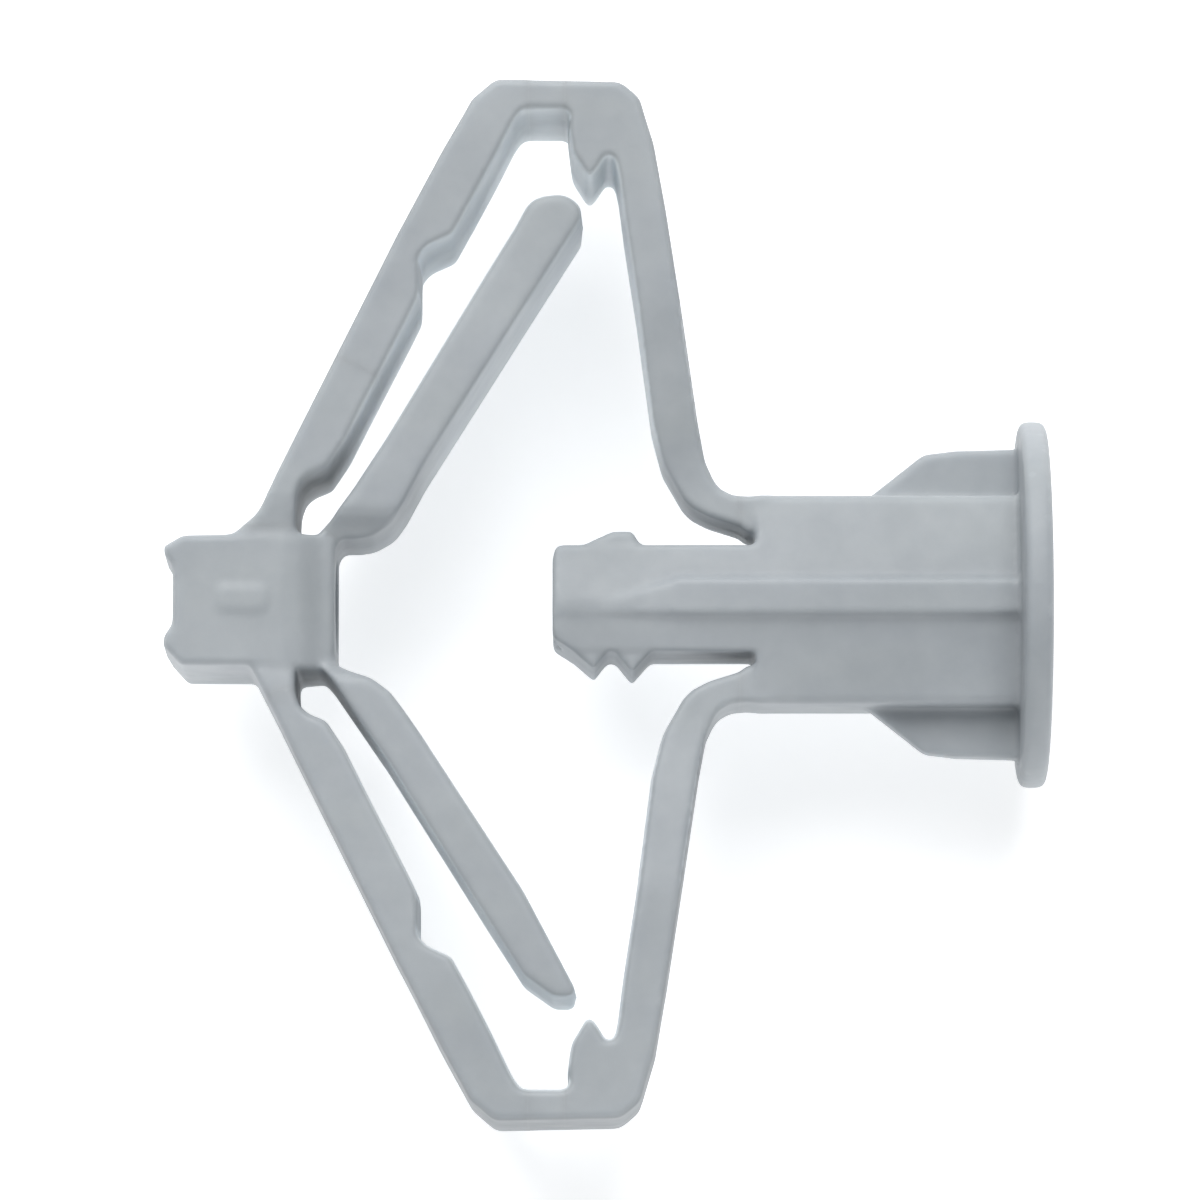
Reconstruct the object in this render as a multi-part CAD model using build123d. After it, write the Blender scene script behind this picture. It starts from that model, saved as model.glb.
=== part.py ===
from build123d import *
import math
import os

# Plastic toggle anchor, lying flat with its wings spread. Units are millimetres.
# +X runs along the screw axis and out through the flange, Y is the wing span and Z is up.
# The origin is on the screw axis, at the outer face of the flange.

# ---- driving dimensions -------------------------------------------------
FLANGE_R = 6.1           # round flange that stops the anchor in the hole
FLANGE_T = 0.9
SLEEVE_END = -9.67       # inner end of the sleeve
SLEEVE_Y = 3.48          # half width of the sleeve
SLEEVE_Z = 1.9           # half depth of the sleeve at its long edges
SLEEVE_EDGE = 0.3        # rounding of its long edges
PITCH = 0.2              # rise of the broad faces towards the ridge
FIN_T = 1.1              # the two anti-turn fins
RIB_W = 1.05             # ribs along the ridges of the sleeve and stem
RIB_Z = 2.72
RIB_FULL = 12.2          # the ribs keep their width to here, then taper out
RIB_OUT = 15.0
STEM_END = -16.4         # free end of the barbed stem
STEM_Y = 1.77
BORE_R = 1.45            # screw hole through flange, sleeve and stem
PILOT_R = 1.05           # thread-forming hole in the nut block
ENTRY_R = 1.7            # lead-in of the nut block
ENTRY_D = 1.2
WING_Z = 3.3             # half depth of the wing arms
ROOT_Z = 1.9             # half depth where the arms leave the sleeve
TAPER_Y = (4.3, 9.6)     # the front arm deepens between these two heights
FINGER_Z = 3.15          # half depth of the brace fingers
BLOCK_Z = 3.2            # half depth of the nut block
BLOCK_Y = 2.1            # its lower side steps out to BLOCK_LOW beyond the neck
BLOCK_TOP = 1.97
BLOCK_LOW = 2.33
BLOCK_L = -29.25         # outer end of the nut block
RECESS = -28.93          # hollow of its outer end
BLOCK_R = -23.6          # end of the nut block that faces the stem
EDGE = 0.22              # rounding of the moulded edges
GAP = 0.03               # clearance at each hinge line
GAP_OPEN = 0.38          # clearance at the one hinge line that is left open
# hinge lines of the upper wing (the lower wing mirrors them)
A = (-11.3, 3.5)         # front arm on the sleeve
B1 = (-16.1, 16.9)       # tip strap on the front arm
B2 = (-18.3, 16.9)       # rear arm on the tip strap
C = (-25.3, 3.2)         # rear arm on the nut block
D = (-23.8, 1.95)        # brace finger on the nut block
R_A, R_B1, R_B2, R_C, R_D = 0.42, 0.50, 0.45, 0.46, 0.30


def outline(points):
    """A closed face from (x, y, corner radius) points."""
    n = len(points)
    seg = []
    for i in range(n):
        x0, y0, _ = points[i - 1]
        x1, y1, r = points[i]
        x2, y2, _ = points[(i + 1) % n]
        ax, ay = x0 - x1, y0 - y1
        bx, by = x2 - x1, y2 - y1
        la, lb = math.hypot(ax, ay), math.hypot(bx, by)
        ax, ay, bx, by = ax / la, ay / la, bx / lb, by / lb
        ang = math.acos(max(-1.0, min(1.0, ax * bx + ay * by)))
        if r <= 0 or ang > math.radians(179.0):
            seg.append(((x1, y1), None, (x1, y1)))
            continue
        t = min(r / math.tan(ang / 2), 0.47 * la, 0.47 * lb)
        r = t * math.tan(ang / 2)
        p = (x1 + ax * t, y1 + ay * t)
        q = (x1 + bx * t, y1 + by * t)
        mx, my = ax + bx, ay + by
        lm = math.hypot(mx, my)
        d = r / math.sin(ang / 2)
        cx, cy = x1 + mx / lm * d, y1 + my / lm * d
        mid = (cx - mx / lm * r, cy - my / lm * r)
        seg.append((p, mid, q))
    edges = []
    for i in range(n):
        p, mid, q = seg[i]
        if mid is not None:
            edges.append(ThreePointArc((*p, 0), (*mid, 0), (*q, 0)))
        nxt = seg[(i + 1) % n][0]
        if math.hypot(nxt[0] - q[0], nxt[1] - q[1]) > 1e-6:
            edges.append(Line((*q, 0), (*nxt, 0)))
    return make_face(edges)


def prism(points, half, edge=EDGE):
    """The outline standing on edge, 2*half deep, with its two rims rounded."""
    body = extrude(Pos(0, 0, -half) * outline(points), amount=2 * half)
    body = Part(body.wrapped) if not isinstance(body, Part) else body
    if edge > 0:
        rims = [e for e in body.edges() if abs(abs(e.center().Z) - half) < 1e-4]
        for size in (edge, edge * 0.6, edge * 0.35):
            try:
                return fillet(rims, size)
            except Exception:
                continue
    return body


def round_rims(body, sizes=(EDGE, EDGE * 0.6, EDGE * 0.35)):
    """Rounds the edges between the broad faces across Z and the side walls."""
    caps = [f for f in body.faces() if abs(f.normal_at(f.center()).Z) > 0.9]
    rims = []
    for f in caps:
        for e in f.edges():
            if any(e.is_same(o) for o in rims):
                rims = [o for o in rims if not e.is_same(o)]
            else:
                rims.append(e)
    for size in sizes:
        try:
            return fillet(rims, size)
        except Exception:
            continue
    print("rims left sharp")
    return body


def disc(at, r, half):
    return Pos(at[0], at[1], 0) * Cylinder(r, 2 * half)


def knuckle(at, r, half):
    """A hinge roll, with its rims slightly broken."""
    c = Cylinder(r, 2 * half)
    c = chamfer(c.edges().filter_by(GeomType.CIRCLE), 0.08)
    return Pos(at[0], at[1], 0) * c


def one(shape):
    s = shape.solids()
    assert len(s) == 1, len(s)
    return s[0]


# ---- collar: flange, sleeve, fins, stem and the two arm roots ------------
flange = Rot(0, 90, 0) * Cylinder(FLANGE_R, FLANGE_T)
flange = Pos(-FLANGE_T / 2, 0, 0) * flange
flange = fillet(flange.edges().filter_by(GeomType.CIRCLE), 0.28)


def section(x, crest_z, crest_half, shift=0.0):
    """Cross-section of the sleeve and stem: two low-pitched broad faces, each with a rib along its ridge."""
    w, h, r = SLEEVE_Y, SLEEVE_Z, SLEEVE_EDGE
    k = 0.7071

    def roof(y):
        return h + PITCH * (w - r - abs(y))

    edges = []
    for s in (1, -1):
        p = [(w - r, h), (shift + crest_half + 0.16, roof(shift + crest_half + 0.16)), (shift + crest_half, crest_z),
             (shift - crest_half, crest_z), (shift - crest_half - 0.16, roof(shift - crest_half - 0.16)), (-w + r, h)]
        edges.append(ThreePointArc((x, w, s * (h - r)), (x, w - r + r * k, s * (h - r + r * k)), (x, w - r, s * h)))
        edges.append(ThreePointArc((x, -w, s * (h - r)), (x, -w + r - r * k, s * (h - r + r * k)), (x, -w + r, s * h)))
        for u, v in zip(p, p[1:]):
            edges.append(Line((x, u[0], s * u[1]), (x, v[0], s * v[1])))
    edges.append(Line((x, -w, h - r), (x, -w, -(h - r))))
    edges.append(Line((x, w, h - r), (x, w, -(h - r))))
    return make_face(edges)


bar = extrude(section(-0.5, RIB_Z, RIB_W / 2), amount=RIB_FULL - 0.5, dir=(-1, 0, 0))
tail_z = SLEEVE_Z + PITCH * (SLEEVE_Y - SLEEVE_EDGE - 0.4) + 0.03
bar += loft([section(-RIB_FULL, RIB_Z, RIB_W / 2), section(-RIB_OUT, tail_z, 0.08, -0.4)], ruled=True)
bar += extrude(section(-RIB_OUT, tail_z, 0.08, -0.4), amount=-STEM_END - RIB_OUT + 0.5, dir=(-1, 0, 0))
bar = one(bar)

sleeve = bar & (Pos(SLEEVE_END / 2, 0, 0) * Box(-SLEEVE_END, 10, 10))
stem_plan = outline([(SLEEVE_END + 1.0, STEM_Y, 0), (STEM_END + 0.12, STEM_Y, 0.25), (STEM_END, STEM_Y - 0.45, 0.2), (STEM_END, -STEM_Y + 0.45, 0.25),
                     (STEM_END + 0.68, -STEM_Y, 0.15), (SLEEVE_END + 1.0, -STEM_Y, 0)])
stem = one(bar & extrude(Pos(0, 0, -5) * stem_plan, amount=10))
long_edges = [e for e in stem.edges() if abs(abs(e.center().Y) - STEM_Y) < 0.02 and abs(e.center().Z) > 1.7 and e.center().X < SLEEVE_END]
for size in (0.3, 0.2, 0.1):
    try:
        stem = fillet(long_edges, size)
        break
    except Exception:
        continue

fins = prism([(-6.05, 3.0, 0), (-6.05, 3.42, 0), (-4.05, 5.0, 0.5), (-3.0, 5.13, 0), (-0.5, 5.2, 0), (-0.5, 3.0, 0)], FIN_T / 2, 0.15)
fins += mirror(fins, about=Plane.XZ)

tooth_long = prism([(-15.6, 1.5, 0), (-15.45, 1.74, 0), (-14.43, 2.17, 0.12), (-13.76, 2.17, 0.1), (-13.48, 1.72, 0), (-13.4, 1.5, 0)], 2.1, 0.1)
tooth_1 = prism([(-15.9, -1.5, 0), (-15.75, -1.72, 0), (-15.05, -2.3, 0.05), (-14.58, -1.74, 0), (-14.5, -1.5, 0)], 2.1, 0.06)
tooth_2 = prism([(-14.45, -1.5, 0), (-14.36, -1.74, 0), (-13.78, -2.29, 0.06), (-13.15, -1.76, 0), (-13.0, -1.5, 0)], 2.1, 0.06)

root = prism(
    [(-9.3, 3.35, 0), (-9.9, 3.4, 0.4), (-10.5, 3.44, 0.5), (-10.86, 3.66, 0), (-11.05, 3.8, 0), (-11.3, 3.4, 0), (-11.02, 3.16, 0),
     (-10.84, 2.9, 0.2), (-10.3, 2.7, 0.4), (-9.9, 2.62, 0.3), (-9.3, 2.6, 0)],
    ROOT_Z, 0.15)
roots = root + mirror(root, about=Plane.XZ)

collar = flange + sleeve + stem + fins + tooth_long + tooth_1 + tooth_2 + roots
collar -= Pos(-8, 0, 0) * Rot(0, 90, 0) * Cylinder(BORE_R, 20)
for s in (1, -1):
    collar -= disc((A[0], s * A[1]), R_A + GAP, 8)
collar = one(collar)

# ---- front arm with its hook block ---------------------------------------
taper = extrude(
    Plane.YZ.offset(-19) * make_face(Polyline(
        (2.0, ROOT_Z), (TAPER_Y[0], ROOT_Z), (TAPER_Y[1], WING_Z), (18.5, WING_Z),
        (18.5, -WING_Z), (TAPER_Y[1], -WING_Z), (TAPER_Y[0], -ROOT_Z), (2.0, -ROOT_Z), close=True)),
    amount=10)
front = prism(
    [(-11.02, 3.78, 0), (-11.12, 4.05, 0.3), (-11.38, 4.6, 0.6), (-11.6, 5.87, 2.0), (-12.2, 10.0, 4.0), (-12.58, 12.8, 3.0),
     (-12.95, 15.2, 2.0), (-13.2, 16.25, 0.8), (-13.75, 17.05, 0.9), (-14.9, 17.42, 0.8), (-15.5, 17.42, 0), (-15.58, 17.2, 0),
     (-16.1, 16.9, 0), (-15.82, 16.3, 0), (-15.84, 15.3, 0.5), (-15.84, 14.7, 0.45), (-15.2, 14.14, 0.16), (-14.86, 14.42, 0.12),
     (-14.62, 14.9, 0.14), (-14.38, 14.9, 0.14), (-14.2, 14.0, 0.5), (-14.0, 12.4, 2.0), (-13.6, 9.8, 3.0), (-13.09, 5.87, 2.0),
     (-12.74, 4.5, 1.2), (-12.05, 3.42, 1.0), (-11.45, 3.1, 0.3)],
    WING_Z + 0.5, 0)
front = round_rims(one(front & taper))
front = front + knuckle(A, R_A, ROOT_Z) + knuckle(B1, R_B1, WING_Z)
front_a = one(front)

# ---- tip strap -----------------------------------------------------------
HS = 0.34
strap = prism([(-16.1, 16.93 + HS, 0), (-18.3, 16.93 + HS, 0), (-18.3, 16.93 - HS, 0), (-16.1, 16.93 - HS, 0)], WING_Z, 0.15)
strap = strap + knuckle(B2, R_B2, WING_Z)
strap -= disc(B1, R_B1 + GAP, 8)
strap_a = one(strap)

# ---- rear arm ------------------------------------------------------------
rear = prism(
    [(-18.3, 17.38, 0), (-18.95, 17.34, 0.5), (-19.45, 16.25, 1.0), (-20.2, 14.8, 3.0), (-21.55, 12.1, 6.0), (-24.6, 5.87, 6.0),
     (-25.55, 4.0, 3.0), (-25.72, 3.45, 0), (-25.3, 3.2, 0), (-24.87, 3.35, 0), (-24.72, 3.62, 0.2), (-24.4, 3.84, 0.15),
     (-23.85, 4.15, 0.35), (-23.25, 5.1, 2.0), (-22.6, 6.4, 4.0), (-21.22, 9.1, 3.0), (-20.83, 9.9, 0.6), (-20.83, 11.3, 0.5),
     (-20.55, 11.62, 0.15), (-19.82, 11.98, 0.2), (-19.25, 13.1, 3.0), (-18.52, 14.5, 4.0), (-17.86, 15.85, 0.6), (-18.06, 16.42, 0),
     (-18.3, 16.9, 0)],
    WING_Z)
rear -= disc(B2, R_B2 + GAP, 8)
rear = one(rear) + knuckle(C, R_C, WING_Z)
rear_a = one(rear)

# ---- nut block with the two rear arm roots -------------------------------
block = prism(
    [(BLOCK_R, -BLOCK_Y, 0.2), (BLOCK_R, BLOCK_Y, 0.2), (-26.2, BLOCK_Y, 0), (-26.5, BLOCK_TOP, 0), (-28.6, BLOCK_TOP, 0.2), (BLOCK_L, 1.6, 0.1),
     (BLOCK_L + 0.05, 1.27, 0.15), (RECESS, 1.0, 0.4), (RECESS, -1.0, 0.4), (BLOCK_L + 0.05, -1.33, 0.15), (BLOCK_L, -1.7, 0.1),
     (-28.65, -BLOCK_LOW, 0.2), (-26.7, -BLOCK_LOW, 0), (-26.35, -BLOCK_Y, 0)],
    BLOCK_Z)
for s in (1, -1):
    ramp = extrude(
        Plane.XZ.offset(-3) * make_face(Polyline(
            (-25.3, s * BLOCK_Z), (-24.75, s * 3.08), (-24.5, s * 2.93), (-24.05, s * 2.6), (-23.7, s * 2.5), (-23.0, s * 2.42),
            (-23.0, s * 4.2), (-25.3, s * 4.2), close=True)),
        amount=6)
    block -= ramp
pad = Pos(-26.62, -0.15, BLOCK_Z) * Box(1.65, 0.85, 0.2)
pad = fillet(pad.edges().filter_by(Axis.Z), 0.25)
block += pad
nib = prism([(-26.42, 1.8, 0), (-26.42, 2.08, 0.1), (-25.92, 2.72, 0.3), (-25.76, 3.05, 0), (-25.3, 3.2, 0), (-25.1, 2.62, 0), (-24.92, 2.1, 0.1), (-24.92, 1.8, 0)], 3.1, 0.12)
block += nib
block += mirror(nib, about=Plane.XZ)
block -= disc(C, R_C + GAP, 8)
low = outline([(C[0] - R_C - GAP, -C[1], 0), (C[0] + R_C + GAP, -C[1], 0), (C[0] + R_C + GAP, -C[1] + GAP_OPEN, 0), (C[0] - R_C - GAP, -C[1] + GAP_OPEN, 0)])
block -= extrude(Pos(0, 0, -8) * low, amount=16)
block -= disc((C[0], -C[1]), R_C + GAP, 8)
block -= disc((C[0], -C[1] + GAP_OPEN), R_C + GAP, 8)
for s in (1, -1):
    block -= disc((D[0], s * D[1]), R_D + GAP, 8)
    block -= Pos(D[0] + 0.55, s * (D[1] - 0.05), 0) * Box(1.0, 0.7, 16)
block -= Pos(-26, 0, 0) * Rot(0, 90, 0) * Cylinder(PILOT_R, 10)
block -= Pos(BLOCK_R - ENTRY_D / 2 + 0.5, 0, 0) * Rot(0, 90, 0) * Cylinder(ENTRY_R, ENTRY_D + 1.0)
nut_block = one(block)

# ---- brace fingers -------------------------------------------------------
def finger(end):
    f = prism(
        [(-24.02, 2.12, 0), (-23.72, 2.5, 0), (-23.0, 3.5, 1.0), (-21.9, 5.2, 5.0), (-18.6, 10.6, 5.0)] + end +
        [(-17.4, 9.8, 5.0), (-20.8, 4.4, 4.0), (-21.62, 3.1, 0.5), (-21.85, 2.6, 0.35), (-22.6, 2.38, 0.2), (-23.0, 2.36, 0.15), (-23.62, 2.2, 0.1), (-23.8, 1.95, 0)],
        FINGER_Z)
    return one(f + knuckle(D, R_D, FINGER_Z))


finger_a = finger([(-17.3, 12.75, 0.75), (-16.35, 13.45, 0.6), (-15.45, 12.95, 0.65)])
finger_b = finger([(-17.35, 12.62, 0.35), (-16.3, 13.32, 0.3), (-15.42, 13.32, 0.22)])


def low_side(shape):
    return one(mirror(shape, about=Plane.XZ))


nodes = {
    "collar": collar,
    "front_arm_a": front_a,
    "front_arm_b": low_side(front_a),
    "tip_strap_a": strap_a,
    "tip_strap_b": low_side(strap_a),
    "rear_arm_a": rear_a,
    "rear_arm_b": low_side(rear_a),
    "nut_block": nut_block,
    "finger_a": finger_a,
    "finger_b": low_side(finger_b),
}

os.makedirs("parts", exist_ok=True)
for name, shape in nodes.items():
    shape.label = name
    export_step(shape, f"parts/{name}.step")
    b = shape.bounding_box()
    print(name, round(shape.volume, 2), "X %.2f..%.2f Y %.2f..%.2f Z %.2f..%.2f" % (b.min.X, b.max.X, b.min.Y, b.max.Y, b.min.Z, b.max.Z))
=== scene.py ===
import bpy
import bmesh
import math
import numpy as np
from mathutils import Vector, Matrix


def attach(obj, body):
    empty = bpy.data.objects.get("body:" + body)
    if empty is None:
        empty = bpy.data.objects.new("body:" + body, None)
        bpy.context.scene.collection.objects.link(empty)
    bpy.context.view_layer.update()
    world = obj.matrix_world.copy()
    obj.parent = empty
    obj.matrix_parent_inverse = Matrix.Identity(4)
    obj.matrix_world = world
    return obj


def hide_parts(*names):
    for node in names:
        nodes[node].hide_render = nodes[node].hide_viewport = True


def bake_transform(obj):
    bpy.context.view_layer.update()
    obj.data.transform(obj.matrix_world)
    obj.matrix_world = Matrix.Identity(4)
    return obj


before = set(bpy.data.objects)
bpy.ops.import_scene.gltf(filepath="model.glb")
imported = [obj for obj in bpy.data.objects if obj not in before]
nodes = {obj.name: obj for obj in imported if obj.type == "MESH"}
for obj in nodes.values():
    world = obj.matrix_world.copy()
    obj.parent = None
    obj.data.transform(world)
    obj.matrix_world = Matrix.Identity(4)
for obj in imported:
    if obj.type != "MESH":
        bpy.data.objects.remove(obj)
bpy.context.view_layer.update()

MM = 0.001
VOXEL = 0.1            # mm, the grain at which the moulding is fused
WING_Z = 3.3
ROOT_Z = 1.9
FINGER_Z = 3.15
BLOCK_Z = 3.2
TAPER_Y = (4.3, 9.6)
TAPER_CUTS = (3.45, 3.9, 4.3, 4.7, 5.15, 7.0, 8.75, 9.2, 9.6, 10.0, 10.45)
NECK_Y = (2.0, 2.3, 2.65, 2.95, 3.3)   # where the broad faces ease down to the block
OPEN_NECK = (-25.38, -3.2)             # the lower neck, where the linkage is opened


# ---------------------------------------------------------------- outlines
def outline(points, step=0.11):
    """2-D points (mm) round a closed shape given as (x, y, corner radius)."""
    n = len(points)
    out = []
    for i in range(n):
        x0, y0 = points[i - 1][:2]
        x1, y1, r = points[i]
        x2, y2 = points[(i + 1) % n][:2]
        ax, ay, bx, by = x0 - x1, y0 - y1, x2 - x1, y2 - y1
        la, lb = math.hypot(ax, ay), math.hypot(bx, by)
        ax, ay, bx, by = ax / la, ay / la, bx / lb, by / lb
        ang = math.acos(max(-1.0, min(1.0, ax * bx + ay * by)))
        if r <= 0 or ang > math.radians(179.0):
            out.append((x1, y1))
            continue
        t = min(r / math.tan(ang / 2), 0.47 * la, 0.47 * lb)
        r = t * math.tan(ang / 2)
        mx, my = ax + bx, ay + by
        lm = math.hypot(mx, my)
        d = r / math.sin(ang / 2)
        cx, cy = x1 + mx / lm * d, y1 + my / lm * d
        p = (x1 + ax * t, y1 + ay * t)
        q = (x1 + bx * t, y1 + by * t)
        a0 = math.atan2(p[1] - cy, p[0] - cx)
        a1 = math.atan2(q[1] - cy, q[0] - cx)
        da = (a1 - a0 + math.pi) % (2 * math.pi) - math.pi
        k = max(2, int(abs(da) * r / step) + 2)
        for j in range(k + 1):
            a = a0 + da * j / k
            out.append((cx + r * math.cos(a), cy + r * math.sin(a)))
    clean = [out[0]]
    for p in out[1:]:
        if math.hypot(p[0] - clean[-1][0], p[1] - clean[-1][1]) > 0.01:
            clean.append(p)
    if math.hypot(clean[0][0] - clean[-1][0], clean[0][1] - clean[-1][1]) < 0.01:
        clean.pop()
    return clean


def swell(pts, d):
    """The outline moved outwards by d, for the draft towards the parting plane."""
    n = len(pts)
    area = sum(pts[i][0] * pts[(i + 1) % n][1] - pts[(i + 1) % n][0] * pts[i][1] for i in range(n))
    s = 1 if area > 0 else -1
    out = []
    for i in range(n):
        x0, y0 = pts[i - 1]
        x1, y1 = pts[i]
        x2, y2 = pts[(i + 1) % n]
        tx, ty = x2 - x0, y2 - y0
        l = math.hypot(tx, ty) or 1.0
        out.append((x1 + s * ty / l * d, y1 - s * tx / l * d))
    return out


def slab(pts, half, depth=None, draft=0.05, cuts=(), xcuts=(), chamfer=0.16):
    """Closed mesh (mm) of an outline 2*half deep. depth(x, y) may vary the half depth."""
    bm = bmesh.new()
    small = swell(pts, -chamfer * 0.75)
    mid = swell(pts, draft)
    rings = []
    for z, ring in ((-half, small), (-half + chamfer, pts), (0.0, mid), (half - chamfer, pts), (half, small)):
        rings.append([bm.verts.new((x, y, z)) for x, y in ring])
    n = len(pts)
    for a, b in zip(rings, rings[1:]):
        for i in range(n):
            bm.faces.new((a[i], a[(i + 1) % n], b[(i + 1) % n], b[i]))
    bm.faces.new(rings[0][::-1])
    bm.faces.new(rings[-1])
    for y in cuts:
        geom = bm.verts[:] + bm.edges[:] + bm.faces[:]
        bmesh.ops.bisect_plane(bm, geom=geom, plane_co=(0, y, 0), plane_no=(0, 1, 0))
    for x in xcuts:
        geom = bm.verts[:] + bm.edges[:] + bm.faces[:]
        bmesh.ops.bisect_plane(bm, geom=geom, plane_co=(x, 0, 0), plane_no=(1, 0, 0))
    bmesh.ops.triangulate(bm, faces=bm.faces[:])
    if depth:
        for v in bm.verts:
            h = depth(v.co.x, v.co.y)
            v.co.z *= h / half
    bmesh.ops.recalc_face_normals(bm, faces=bm.faces[:])
    return bm


def low(points):
    return [(x, -y, r) for x, y, r in points]


# upper wing as one strip: root, elbow, front arm, hook, tip, rear arm and neck
FRONT_OUT = [
    (-9.2, 3.47, 0), (-9.9, 3.43, 0.4), (-10.45, 3.47, 0.6), (-10.86, 3.68, 0.4), (-11.08, 3.98, 0.4), (-11.36, 4.6, 0.8),
    (-11.6, 5.87, 2.0), (-12.22, 10.0, 4.0), (-12.65, 12.8, 3.0), (-13.05, 15.05, 1.5), (-13.3, 15.85, 0.8),
    (-13.52, 16.6, 0.6), (-14.15, 17.14, 0.7)]
REAR_OUT_A = [
    (-18.3, 17.22, 0.5), (-19.08, 16.55, 0.5), (-19.3, 16.15, 1.0), (-20.1, 14.75, 3.0), (-21.5, 12.1, 6.0),
    (-24.6, 5.87, 6.0), (-25.5, 4.05, 2.0), (-26.1, 2.75, 1.3), (-27.0, 1.98, 1.6), (-27.6, 1.82, 0)]
REAR_OUT_B = [
    (-18.3, 17.22, 0.5), (-19.08, 16.55, 0.5), (-19.3, 16.15, 1.0), (-20.1, 14.75, 3.0), (-21.5, 12.1, 6.0),
    (-24.6, 5.87, 6.0), (-25.5, 4.05, 3.0), (-26.42, 2.25, 0.3), (-26.6, 1.9, 0)]
REAR_IN = [
    (-24.72, 1.6, 0), (-24.9, 2.35, 0.4), (-24.88, 3.2, 0.5), (-24.74, 3.68, 0.25), (-24.45, 3.95, 0.15), (-23.85, 4.2, 0.35),
    (-23.25, 5.1, 2.0), (-22.6, 6.4, 4.0), (-21.22, 9.1, 3.0), (-20.83, 9.9, 0.6), (-20.83, 11.3, 0.5), (-20.5, 11.62, 0.15),
    (-19.72, 11.98, 0.2), (-19.1, 13.1, 3.0), (-18.35, 14.5, 4.0), (-17.72, 15.75, 0.6), (-17.42, 16.2, 0.4),
    (-15.82, 16.2, 0.25), (-15.86, 15.5, 0.8), (-15.76, 14.75, 0.6), (-15.2, 13.86, 0.14), (-14.9, 14.22, 0.14),
    (-14.66, 14.62, 0.14), (-14.36, 14.62, 0.16), (-14.2, 13.95, 0.5), (-14.0, 12.4, 2.0), (-13.6, 9.8, 3.0),
    (-13.09, 5.87, 2.0), (-12.74, 4.5, 1.4), (-12.05, 3.3, 1.3), (-11.75, 3.02, 1.0), (-11.2, 2.74, 1.0), (-10.2, 2.43, 0.6),
    (-9.95, 2.22, 0.12), (-9.2, 2.15, 0)]
wing_a = FRONT_OUT + REAR_OUT_A + [(-27.4, 1.2, 0), (-24.9, 1.2, 0)] + REAR_IN
wing_b = low(FRONT_OUT + REAR_OUT_B + [(-26.3, 1.2, 0), (-24.9, 1.2, 0)] + REAR_IN)


RAMP_X = (-25.3, -24.8, -24.55, -24.1, -23.8, -23.6)
RAMP_Z = (3.2, 3.08, 2.93, 2.6, 2.5, 2.46)


def block_depth(x, y):
    return float(np.interp(x, RAMP_X, RAMP_Z))


def ease(t):
    t = max(0.0, min(1.0, t))
    return t * t * (3 - 2 * t)


def wing_depth(x, y):
    y = abs(y)
    if x < -23.9:
        low_z = block_depth(x, y) - 0.07
        return low_z + (WING_Z - low_z) * ease((y - 2.0) / 1.3)
    if x < -14.6:
        return WING_Z
    t = (y - TAPER_Y[0]) / (TAPER_Y[1] - TAPER_Y[0])
    return ROOT_Z + (WING_Z - ROOT_Z) * (bend(t) - bend(t - 1.0))


def bend(t, w=0.16):
    """max(t, 0) with its corner rounded over 2*w."""
    if t <= -w:
        return 0.0
    if t >= w:
        return t
    return (t + w) ** 2 / (4 * w)


FINGER_A = [
    (-24.4, 1.4, 0), (-24.12, 2.12, 0.15), (-23.72, 2.52, 0.3), (-23.0, 3.5, 1.0), (-21.9, 5.2, 5.0), (-18.6, 10.7, 5.0),
    (-17.62, 12.3, 1.2), (-17.12, 13.25, 0.85), (-15.95, 13.42, 0.85), (-15.3, 12.8, 0.8),
    (-17.2, 9.8, 5.0), (-20.7, 4.22, 4.0), (-21.3, 3.1, 1.6), (-21.75, 2.4, 1.2), (-22.35, 2.02, 0.9), (-22.9, 1.93, 0.4), (-23.4, 1.95, 0.2), (-23.7, 1.5, 0)]
FINGER_B = [
    (-24.4, 1.4, 0), (-24.15, 2.3, 0.15), (-23.72, 2.75, 0.3), (-23.0, 3.8, 1.0), (-21.9, 5.4, 5.0), (-18.6, 10.65, 5.0),
    (-17.35, 12.6, 0.35), (-16.35, 13.3, 0.3), (-15.5, 13.3, 0.22),
    (-17.35, 9.8, 5.0), (-20.75, 4.6, 4.0), (-21.34, 3.76, 1.5), (-21.75, 3.22, 1.2), (-22.4, 2.74, 0.9), (-23.05, 2.52, 0.4), (-23.5, 2.3, 0.2), (-23.7, 1.5, 0)]
finger_a = FINGER_A
finger_b = low(FINGER_B)

BLOCK = [
    (-23.6, -2.15, 0.25), (-23.6, 2.05, 0.25), (-26.2, 2.02, 0), (-28.6, 1.97, 0.22), (-29.24, 1.6, 0.12), (-29.19, 1.27, 0.2), (-28.93, 1.0, 0.45),
    (-28.93, -1.0, 0.45), (-29.19, -1.33, 0.2), (-29.24, -1.7, 0.12), (-28.65, -2.34, 0.22), (-26.3, -2.34, 0), (-25.0, -2.46, 0.3), (-24.15, -2.46, 0.2)]


def finger_depth(x, y):
    low_z = block_depth(x, y) - 0.06
    return low_z + (FINGER_Z - low_z) * ease((abs(y) - 2.0) / 0.9)


def cylinder(x0, x1, r):
    bm = bmesh.new()
    bmesh.ops.create_cone(bm, cap_ends=True, segments=64, radius1=r, radius2=r, depth=abs(x1 - x0))
    bmesh.ops.rotate(bm, verts=bm.verts[:], cent=(0, 0, 0), matrix=Matrix.Rotation(math.pi / 2, 3, "Y"))
    bmesh.ops.translate(bm, verts=bm.verts[:], vec=((x0 + x1) / 2, 0, 0))
    return bm


def to_object(bm, name):
    me = bpy.data.meshes.new(name)
    bm.to_mesh(me)
    bm.free()
    ob = bpy.data.objects.new(name, me)
    bpy.context.scene.collection.objects.link(ob)
    return ob


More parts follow.
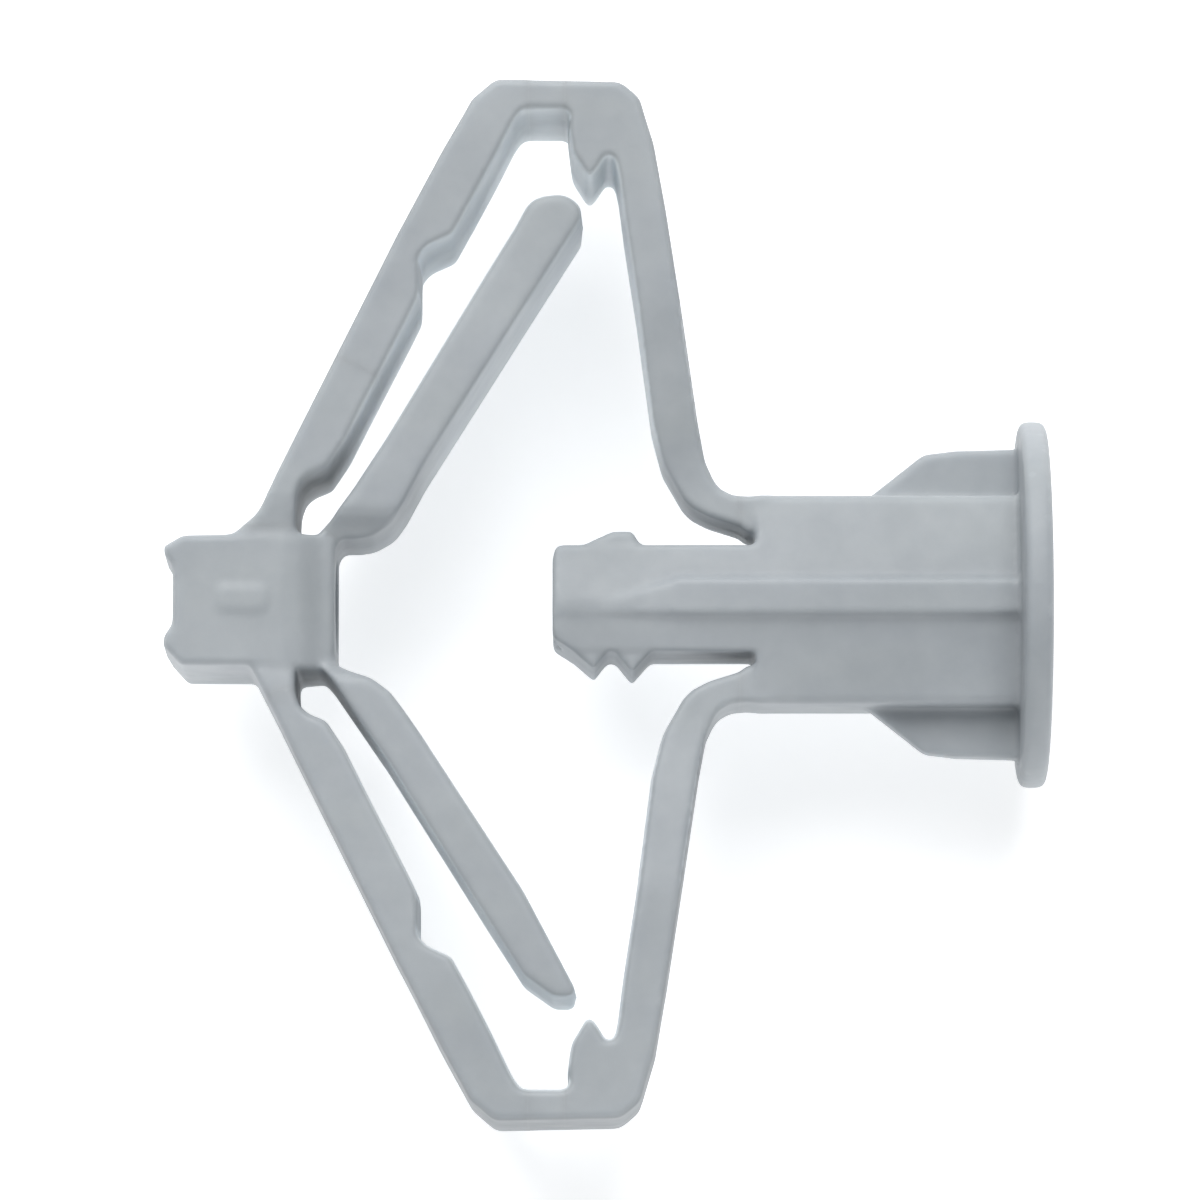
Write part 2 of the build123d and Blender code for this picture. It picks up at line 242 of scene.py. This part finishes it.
def applied(ob):
    """The object's mesh with its modifiers applied; the object is removed."""
    dg = bpy.context.evaluated_depsgraph_get()
    me = bpy.data.meshes.new_from_object(ob.evaluated_get(dg))
    bpy.data.objects.remove(ob, do_unlink=True)
    return me


# ---------------------------------------------------------------- nut block
bm = slab(outline(BLOCK), BLOCK_Z, cuts=())
geom = bm.verts[:] + bm.edges[:] + bm.faces[:]
for x in (-25.3, -25.0, -24.75, -24.5, -24.25, -24.05, -23.85, -23.7):
    geom = bm.verts[:] + bm.edges[:] + bm.faces[:]
    bmesh.ops.bisect_plane(bm, geom=geom, plane_co=(x, 0, 0), plane_no=(1, 0, 0))
for v in bm.verts:
    v.co.z *= block_depth(v.co.x, v.co.y) / BLOCK_Z
block = to_object(bm, "tmp_block")
hole = to_object(cylinder(-31, -22, 1.05), "tmp_hole")
mouth = to_object(cylinder(-24.8, -22, 1.7), "tmp_mouth")
for cutter in (hole, mouth):
    m = block.modifiers.new("cut", "BOOLEAN")
    m.operation = "DIFFERENCE"
    m.solver = "EXACT"
    m.object = cutter
block_mesh = applied(block)
for cutter in (hole, mouth):
    bpy.data.objects.remove(cutter, do_unlink=True)

# the small bare pad on the block's broad face
pad = outline([(-27.45, -0.57, 0.25), (-25.8, -0.57, 0.25), (-25.8, 0.28, 0.25), (-27.45, 0.28, 0.25)])
bm = slab(pad, 0.35, draft=0.0, chamfer=0.08)
bmesh.ops.translate(bm, verts=bm.verts[:], vec=(0, 0, BLOCK_Z - 0.26))
pad_mesh = applied(to_object(bm, "tmp_pad"))

# ---------------------------------------------------------------- fused master
bm = bmesh.new()
tmp = nodes["collar"].data.copy()
tmp.transform(Matrix.Scale(1 / MM, 4))
bm.from_mesh(tmp)
bmesh.ops.remove_doubles(bm, verts=bm.verts[:], dist=0.0005)
bpy.data.meshes.remove(tmp)
for me in (block_mesh, pad_mesh):
    bm.from_mesh(me)
    bpy.data.meshes.remove(me)
for pts, half, depth, cuts in (
        (wing_a, WING_Z, wing_depth, TAPER_CUTS + NECK_Y),
        (wing_b, WING_Z, wing_depth, [-y for y in TAPER_CUTS + NECK_Y]),
        (finger_a, FINGER_Z, finger_depth, NECK_Y),
        (finger_b, FINGER_Z, finger_depth, [-y for y in NECK_Y])):
    part = slab(outline(pts), half, depth, cuts=cuts, xcuts=(-25.3, -24.75, -24.5, -24.05) if half == WING_Z else ())
    me = bpy.data.meshes.new("tmp")
    part.to_mesh(me)
    part.free()
    bm.from_mesh(me)
    bpy.data.meshes.remove(me)
# the barbs of the stem, kept crisp
for pts in ([(-15.6, 1.4, 0), (-15.42, 1.76, 0), (-14.43, 2.22, 0.1), (-13.76, 2.22, 0.08), (-13.46, 1.72, 0), (-13.4, 1.4, 0)],
            [(-15.95, -1.4, 0), (-15.78, -1.72, 0), (-15.04, -2.36, 0.05), (-14.58, -1.76, 0), (-14.5, -1.4, 0)],
            [(-14.45, -1.4, 0), (-14.34, -1.76, 0), (-13.77, -2.48, 0.05), (-13.15, -1.78, 0), (-13.0, -1.4, 0)]):
    part = slab(outline(pts), 2.1, draft=0.0, chamfer=0.1)
    me = bpy.data.meshes.new("tmp")
    part.to_mesh(me)
    part.free()
    bm.from_mesh(me)
    bpy.data.meshes.remove(me)
master = to_object(bm, "tmp_master")
m = master.modifiers.new("fuse", "REMESH")
m.mode = "VOXEL"
m.voxel_size = VOXEL
m.adaptivity = 0.0
master_mesh = applied(master)


# ---------------------------------------------------------------- soften
def soften(me, plain=3, steady=8):
    """A few rounds of smoothing round every moulded edge; the steady rounds take out the grain without shrinking."""
    n = len(me.vertices)
    co = np.empty(n * 3)
    me.vertices.foreach_get("co", co)
    co = co.reshape(-1, 3)
    ed = np.empty(len(me.edges) * 2, np.int64)
    me.edges.foreach_get("vertices", ed)
    a, b = ed[0::2], ed[1::2]
    deg = np.bincount(a, minlength=n) + np.bincount(b, minlength=n)
    deg = np.maximum(deg, 1)[:, None]

    def lap(p):
        s = np.empty_like(p)
        for k in range(3):
            s[:, k] = np.bincount(a, p[b, k], n) + np.bincount(b, p[a, k], n)
        return s / deg - p
    for _ in range(plain):
        co = co + 0.5 * lap(co)
    for _ in range(steady):
        co = co + 0.5 * lap(co)
        co = co - 0.53 * lap(co)
    me.vertices.foreach_set("co", co.ravel())
    me.update()


soften(master_mesh)

# ---------------------------------------------------------------- cut into pieces
# each cut: a point and normal, and the box of the moulding that it may touch
bm = bmesh.new()
bm.from_mesh(master_mesh)
bpy.data.meshes.remove(master_mesh)
cut_edges = set()


def cut(point, normal, lo, hi):
    p, nrm = Vector(point), Vector(normal).normalized()
    faces = [f for f in bm.faces if lo[0] < f.calc_center_median().x < hi[0] and lo[1] < f.calc_center_median().y < hi[1]]
    geom = set(faces)
    for f in faces:
        geom.update(f.edges)
        geom.update(f.verts)
    res = bmesh.ops.bisect_plane(bm, geom=list(geom), dist=1e-5, plane_co=p, plane_no=nrm)
    return [e for e in res["geom_cut"] if isinstance(e, bmesh.types.BMEdge)]


layer = bm.edges.layers.int.new("cut")


def mark(edges):
    for e in edges:
        e[layer] = 1


def span(s, y0, y1):
    return (y0, y1) if s > 0 else (-y1, -y0)


for s in (1, -1):
    y0, y1 = span(s, 2.05, 3.9)
    mark(cut((-10.2, 0, 0), (1, 0, 0), (-10.6, y0), (-9.8, y1)))
    y0, y1 = span(s, 16.0, 17.9)
    mark(cut((-15.98, 0, 0), (1, 0, 0), (-16.3, y0), (-15.7, y1)))
    y0, y1 = span(s, 16.0, 17.9)
    mark(cut((-17.2, 0, 0), (1, 0, 0), (-17.5, y0), (-16.9, y1)))
    if s > 0:
        mark(cut((-22.9, 7.6, 0), (-0.44, -0.898, 0), (-24.7, 6.4), (-21.5, 8.8)))
    if s > 0:
        mark(cut((0, 2.3, 0), (0, 1, 0), (-27.4, 2.0), (-24.5, 2.6)))
    else:
        mark(cut((*OPEN_NECK, 0), (-0.22, 0.975, 0), (-26.6, -4.0), (-24.5, -2.6)))
    if s > 0:
        mark(cut((-23.66, 2.0, 0), (0.62, 0.78, 0), (-24.35, 1.0), (-22.9, 3.2)))
    else:
        mark(cut((-23.6, -2.35, 0), (0.62, -0.78, 0), (-24.35, -3.3), (-22.9, -1.2)))

# flood the faces between cuts
bm.faces.ensure_lookup_table()
bm.faces.index_update()
label = [-1] * len(bm.faces)
groups = []
for f0 in bm.faces:
    if label[f0.index] >= 0:
        continue
    g = len(groups)
    label[f0.index] = g
    stack, members = [f0], []
    while stack:
        f = stack.pop()
        members.append(f)
        for e in f.edges:
            if e[layer]:
                continue
            for h in e.link_faces:
                if label[h.index] < 0:
                    label[h.index] = g
                    stack.append(h)
    groups.append(members)
print("groups", len(groups), [len(g) for g in groups])

probes = {
    "collar_body": (-5, 0, 3.0),
    "front_arm_a_body": (-12.9, 10, 3.3), "front_arm_b_body": (-12.9, -10, 3.3),
    "tip_strap_a_body": (-16.6, 17.0, 3.3), "tip_strap_b_body": (-16.6, -17.0, 3.3),
    "rear_arm_a_body": (-20.5, 12.8, 3.3), "rear_arm_b_body": (-20.5, -12.8, 3.3),
    "rear_root_a_body": (-24.0, 5.5, 3.3),
    "nut_block_body": (-27, 1.2, 3.2),
    "finger_a_body": (-19.0, 8.7, 3.15), "finger_b_body": (-19.0, -8.7, 3.15),
}


def nearest_group(p):
    best, bd = None, 1e9
    v = Vector(p)
    for f in bm.faces:
        d = (f.calc_center_median() - v).length_squared
        if d < bd:
            best, bd = f, d
    return label[best.index]


chosen = {}
for name, p in probes.items():
    g = nearest_group(p)
    assert g not in chosen.values(), (name, g)
    chosen[name] = g
stray = [g for g in range(len(groups)) if g not in chosen.values()]
print("unclaimed groups", [(g, len(groups[g]), tuple(round(c, 2) for c in groups[g][0].calc_center_median())) for g in stray])


def extract(name, g):
    out = bmesh.new()
    vmap = {}
    lay = out.edges.layers.int.new("rim")
    for f in groups[g]:
        vs = []
        for v in f.verts:
            k = vmap.get(v.index)
            if k is None:
                k = out.verts.new(v.co)
                vmap[v.index] = k
            vs.append(k)
        out.faces.new(vs)
    rim = [e for e in out.edges if len(e.link_faces) == 1]
    # close each cut with a flat cap
    if rim:
        res = bmesh.ops.holes_fill(out, edges=rim, sides=0)
        caps = res["faces"]
        for f in caps:
            for e in f.edges:
                e.smooth = False
        bmesh.ops.triangulate(out, faces=caps)
    for f in out.faces:
        f.smooth = True
    bmesh.ops.recalc_face_normals(out, faces=out.faces[:])
    me = bpy.data.meshes.new(name)
    for e in out.edges:
        if len(e.link_faces) == 2 and e.smooth and e.calc_face_angle(0) > math.radians(75):
            e.smooth = False
    out.to_mesh(me)
    out.free()
    me.transform(Matrix.Scale(MM, 4))
    ob = bpy.data.objects.new(name, me)
    bpy.context.scene.collection.objects.link(ob)
    return ob


def knuckle(me, x, y, r, half):
    """A round end for the arm, hidden inside the neck until the arm swings."""
    out = bmesh.new()
    out.from_mesh(me)
    res = bmesh.ops.create_cone(out, cap_ends=True, segments=40, radius1=r * MM, radius2=r * MM, depth=2 * half * MM)
    bmesh.ops.translate(out, verts=res["verts"], vec=(x * MM, y * MM, 0))
    for v in res["verts"]:
        for f in v.link_faces:
            f.smooth = len(f.verts) == 4
        for e in v.link_edges:
            if any(len(f.verts) > 4 for f in e.link_faces):
                e.smooth = False
    out.to_mesh(me)
    out.free()


# the lower wing reaches a little further out than the upper one
for v in bm.verts:
    if v.co.y < -12.5:
        t_ = min(1.0, (-v.co.y - 12.5) / 4.0)
        v.co.y -= 0.145 * t_ * t_ * (3 - 2 * t_)
bm.verts.index_update()
piece = {name: extract(name, g) for name, g in chosen.items()}
knuckle(piece["rear_arm_b_body"].data, *OPEN_NECK, 0.43, 3.08)
bm.free()
for n_, o_ in piece.items():
    print(n_, len(o_.data.polygons), "faces,", sum(len(p.vertices) - 2 for p in o_.data.polygons), "tris")


# ---------------------------------------------------------------- material
def polymer(name, inside_wall_painted_light, outside_wall_painted_tone, tint=(1.0, 1.0, 1.0)):
    mat = bpy.data.materials.new(name)
    mat.use_nodes = True
    nt = mat.node_tree
    nt.nodes.clear()
    N = nt.nodes.new
    L = nt.links.new
    out = N("ShaderNodeOutputMaterial")
    bsdf = N("ShaderNodeBsdfPrincipled")
    L(bsdf.outputs["BSDF"], out.inputs["Surface"])
    co = N("ShaderNodeTexCoord")

    def noise(scale, detail=3.0, rough=0.5, stretch=None):
        t = N("ShaderNodeTexNoise")
        t.inputs["Scale"].default_value = scale
        t.inputs["Detail"].default_value = detail
        t.inputs["Roughness"].default_value = rough
        if stretch:
            mp = N("ShaderNodeMapping")
            mp.inputs["Scale"].default_value = stretch
            L(co.outputs["Object"], mp.inputs["Vector"])
            L(mp.outputs["Vector"], t.inputs["Vector"])
        else:
            L(co.outputs["Object"], t.inputs["Vector"])
        return t

    def ramp(src, stops):
        r = N("ShaderNodeValToRGB")
        els = r.color_ramp.elements
        els[0].position, els[0].color = stops[0][0], (*stops[0][1], 1)
        els[1].position, els[1].color = stops[-1][0], (*stops[-1][1], 1)
        for p, c in stops[1:-1]:
            e = els.new(p)
            e.color = (*c, 1)
        L(src, r.inputs["Fac"])
        return r

    def mix(kind, fac, a, b):
        m_ = N("ShaderNodeMix")
        m_.data_type = "RGBA"
        m_.blend_type = kind
        if isinstance(fac, float):
            m_.inputs[0].default_value = fac
        else:
            L(fac, m_.inputs[0])
        L(a, m_.inputs[6])
        if isinstance(b, tuple):
            m_.inputs[7].default_value = (*b, 1)
        else:
            L(b, m_.inputs[7])
        return m_.outputs[2]

    t = tint
    base_dark = (0.352 * t[0], 0.378 * t[1], 0.397 * t[2])
    base_light = (0.404 * t[0], 0.431 * t[1], 0.451 * t[2])
    # broad clouding of the melt, and a finer mottle over it
    cloud = noise(210, 4.0, 0.55)
    c1 = ramp(cloud.outputs["Fac"], [(0.32, base_dark), (0.70, base_light)])
    mottle = noise(1100, 3.0, 0.6)
    c2 = ramp(mottle.outputs["Fac"], [(0.25, (0.955, 0.958, 0.965)), (0.75, (1.03, 1.03, 1.025))])
    col = mix("MULTIPLY", 1.0, c1.outputs["Color"], c2.outputs["Color"])
    # faint flow streaks along the moulding
    flow = noise(420, 2.0, 0.5, stretch=(0.25, 1.0, 0.6))
    c3 = ramp(flow.outputs["Fac"], [(0.35, (0.975, 0.975, 0.985)), (0.65, (1.015, 1.015, 1.01))])
    col = mix("MULTIPLY", 1.0, col, c3.outputs["Color"])
    # edges a little paler, and inner corners a little darker as painted shade
    geo = N("ShaderNodeNewGeometry")
    edge = ramp(geo.outputs["Pointiness"], [(0.44, (0.90, 0.90, 0.91)), (0.495, (1, 1, 1)), (0.53, (1, 1, 1)), (0.60, (1.05, 1.05, 1.045))])
    col = mix("MULTIPLY", 1.0, col, edge.outputs["Color"])
    # painted light: the walls of the thin arms are made paler in colour than those of the thick parts, standing in
    # for light let through them
    nrm = N("ShaderNodeSeparateXYZ")
    L(co.outputs["Normal"], nrm.inputs[0])
    up = N("ShaderNodeMath")
    up.operation = "ABSOLUTE"
    L(nrm.outputs["Z"], up.inputs[0])
    wall = N("ShaderNodeMapRange")
    wall.interpolation_type = "SMOOTHSTEP"
    wall.inputs["From Min"].default_value = 0.85
    wall.inputs["From Max"].default_value = 0.25
    L(up.outputs[0], wall.inputs["Value"])
    pos = N("ShaderNodeSeparateXYZ")
    L(co.outputs["Object"], pos.inputs[0])
    off = N("ShaderNodeMath")
    off.operation = "ABSOLUTE"
    L(pos.outputs["Y"], off.inputs[0])
    thin = N("ShaderNodeMapRange")
    thin.interpolation_type = "SMOOTHSTEP"
    thin.inputs["From Min"].default_value = 0.0031
    thin.inputs["From Max"].default_value = 0.0062
    L(off.outputs[0], thin.inputs["Value"])
    wings = N("ShaderNodeMapRange")
    wings.interpolation_type = "SMOOTHSTEP"
    wings.inputs["From Min"].default_value = -0.0102
    wings.inputs["From Max"].default_value = -0.0116
    L(pos.outputs["X"], wings.inputs["Value"])
    where = N("ShaderNodeMath")
    where.operation = "MULTIPLY"
    L(thin.outputs["Result"], where.inputs[0])
    L(wings.outputs["Result"], where.inputs[1])
    painted_wall_mask = N("ShaderNodeMath")
    painted_wall_mask.operation = "MULTIPLY"
    L(wall.outputs["Result"], painted_wall_mask.inputs[0])
    L(where.outputs[0], painted_wall_mask.inputs[1])
    inside_wall_light_ramp = ramp(painted_wall_mask.outputs[0], [(0.0, (1, 1, 1)), (1.0, inside_wall_painted_light)])
    # the outside walls of the wings get a factor of their own instead: painted shade on the arms, painted light on
    # the fingers
    side = N("ShaderNodeMath")
    side.operation = "SIGN"
    L(pos.outputs["Y"], side.inputs[0])
    out_ = N("ShaderNodeMath")
    out_.operation = "MULTIPLY"
    L(side.outputs[0], out_.inputs[0])
    L(nrm.outputs["Y"], out_.inputs[1])
    away = N("ShaderNodeMapRange")
    away.interpolation_type = "SMOOTHSTEP"
    away.inputs["From Min"].default_value = -0.12
    away.inputs["From Max"].default_value = 0.12
    L(out_.outputs[0], away.inputs["Value"])
    outside_wall_painted_ramp = ramp(painted_wall_mask.outputs[0], [(0.0, (1, 1, 1)), (1.0, outside_wall_painted_tone)])
    # painted light and shade on the walls, blended by which way each wall faces
    painted_wall_light_col = mix("MIX", away.outputs["Result"], inside_wall_light_ramp.outputs["Color"], outside_wall_painted_ramp.outputs["Color"])
    col = mix("MULTIPLY", 1.0, col, painted_wall_light_col)
    L(col, bsdf.inputs["Base Color"])
    # satin finish, uneven
    sat = noise(640, 4.0, 0.6)
    rr = N("ShaderNodeMapRange")
    rr.inputs["From Min"].default_value = 0.3
    rr.inputs["From Max"].default_value = 0.7
    rr.inputs["To Min"].default_value = 0.40
    rr.inputs["To Max"].default_value = 0.56
    L(sat.outputs["Fac"], rr.inputs["Value"])
    L(rr.outputs["Result"], bsdf.inputs["Roughness"])
    bsdf.inputs["IOR"].default_value = 1.49
    bsdf.inputs["Specular IOR Level"].default_value = 0.42
    bsdf.inputs["Subsurface Weight"].default_value = 0.2
    bsdf.inputs["Subsurface Radius"].default_value = (0.85, 0.93, 1.0)
    bsdf.inputs["Subsurface Scale"].default_value = 0.0011
    # spark-eroded mould grain and soft sink marks
    grain = noise(5200, 2.0, 0.5)
    b1 = N("ShaderNodeBump")
    b1.inputs["Strength"].default_value = 0.10
    b1.inputs["Distance"].default_value = 0.00003
    L(grain.outputs["Fac"], b1.inputs["Height"])
    sink = noise(520, 2.0, 0.4)
    b2 = N("ShaderNodeBump")
    b2.inputs["Strength"].default_value = 0.35
    b2.inputs["Distance"].default_value = 0.00006
    L(sink.outputs["Fac"], b2.inputs["Height"])
    L(b1.outputs["Normal"], b2.inputs["Normal"])
    L(b2.outputs["Normal"], bsdf.inputs["Normal"])
    return mat


# each material paints light onto the inside walls of the thin arms; the outside walls get painted shade on the arms
# and painted light on the fingers
mat = polymer("grey_polymer_painted_wall_light", (1.95, 1.93, 1.9), (0.74, 0.74, 0.74))
finger_mat = polymer("grey_polymer_finger_painted_wall_light", (1.5, 1.49, 1.48), (1.75, 1.74, 1.72))
for o in list(piece.values()) + list(nodes.values()):
    o.data.materials.clear()
    o.data.materials.append(finger_mat if "finger" in o.name else mat)


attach(piece["collar_body"], "collar")
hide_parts("collar")
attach(piece["nut_block_body"], "nut_block")
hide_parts("nut_block")
for side, s in (("a", 1), ("b", -1)):
    p = piece["front_arm_%s_body" % side]
    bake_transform(p)
    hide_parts("front_arm_" + side)
    p = piece["tip_strap_%s_body" % side]
    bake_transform(p)
    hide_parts("tip_strap_" + side)
    p = piece["rear_arm_%s_body" % side]
    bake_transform(p)
    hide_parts("rear_arm_" + side)
    p = piece["finger_%s_body" % side]
    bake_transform(p)
    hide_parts("finger_" + side)
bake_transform(piece["rear_root_a_body"])

# ---------------------------------------------------------------- floor, light, camera
bm = bmesh.new()
bmesh.ops.create_grid(bm, x_segments=24, y_segments=24, size=1.6)
floor = to_object(bm, "floor")
floor.location = (-0.0148, 0.0, -0.00612)
fm = bpy.data.materials.new("pale_floor")
fm.use_nodes = True
fb = fm.node_tree.nodes["Principled BSDF"]
fb.inputs["Roughness"].default_value = 0.9
fb.inputs["Specular IOR Level"].default_value = 0.1
fn = fm.node_tree.nodes.new("ShaderNodeTexNoise")
fn.inputs["Scale"].default_value = 6.0
fr = fm.node_tree.nodes.new("ShaderNodeValToRGB")
fr.color_ramp.elements[0].color = (0.895, 0.897, 0.90, 1)
fr.color_ramp.elements[1].color = (0.915, 0.915, 0.915, 1)
fc = fm.node_tree.nodes.new("ShaderNodeTexCoord")
fm.node_tree.links.new(fc.outputs["Object"], fn.inputs["Vector"])
fm.node_tree.links.new(fn.outputs["Fac"], fr.inputs["Fac"])
fm.node_tree.links.new(fr.outputs["Color"], fb.inputs["Base Color"])
# a light table: the sheet glows a little from below, so that shadows stay pale
fb.inputs["Emission Color"].default_value = (0.98, 0.99, 1.0, 1)
fb.inputs["Emission Strength"].default_value = 0.5
floor.data.materials.append(fm)

scene = bpy.context.scene
scene.view_settings.view_transform = "Standard"
world = bpy.data.worlds.new("studio")
world.use_nodes = True
world.node_tree.nodes["Background"].inputs["Color"].default_value = (0.97, 0.985, 1.0, 1)
world.node_tree.nodes["Background"].inputs["Strength"].default_value = 0.38
scene.world = world

centre = Vector((-0.0148, 0.0, 0.0))


def area(name, loc, size, energy, color=(1, 1, 1)):
    d = bpy.data.lights.new(name, "AREA")
    d.shape = "SQUARE"
    d.size = size
    d.energy = energy
    d.color = color
    o = bpy.data.objects.new(name, d)
    scene.collection.objects.link(o)
    o.location = Vector(loc)
    o.rotation_euler = (centre - Vector(loc)).to_track_quat("-Z", "Y").to_euler()
    return o


area("key", (-0.16, 0.66, 0.74), 0.9, 10.4)
area("fill", (0.16, -0.68, 0.24), 0.5, 1.5, (0.98, 0.99, 1.0))

cam_data = bpy.data.cameras.new("camera")
cam_data.sensor_width = 36.0
cam_data.lens = 36.0 * 285.0 / 40.0
cam_data.clip_start, cam_data.clip_end = 0.01, 10.0
cam = bpy.data.objects.new("camera", cam_data)
scene.collection.objects.link(cam)
el = math.radians(83.2)
target = Vector((-14.83, 0.17, 0.0)) * MM
fwd = Vector((0, math.cos(el), -math.sin(el)))
cam.location = target - fwd * 0.285
cam.rotation_euler = fwd.to_track_quat("-Z", "Y").to_euler()
scene.camera = cam
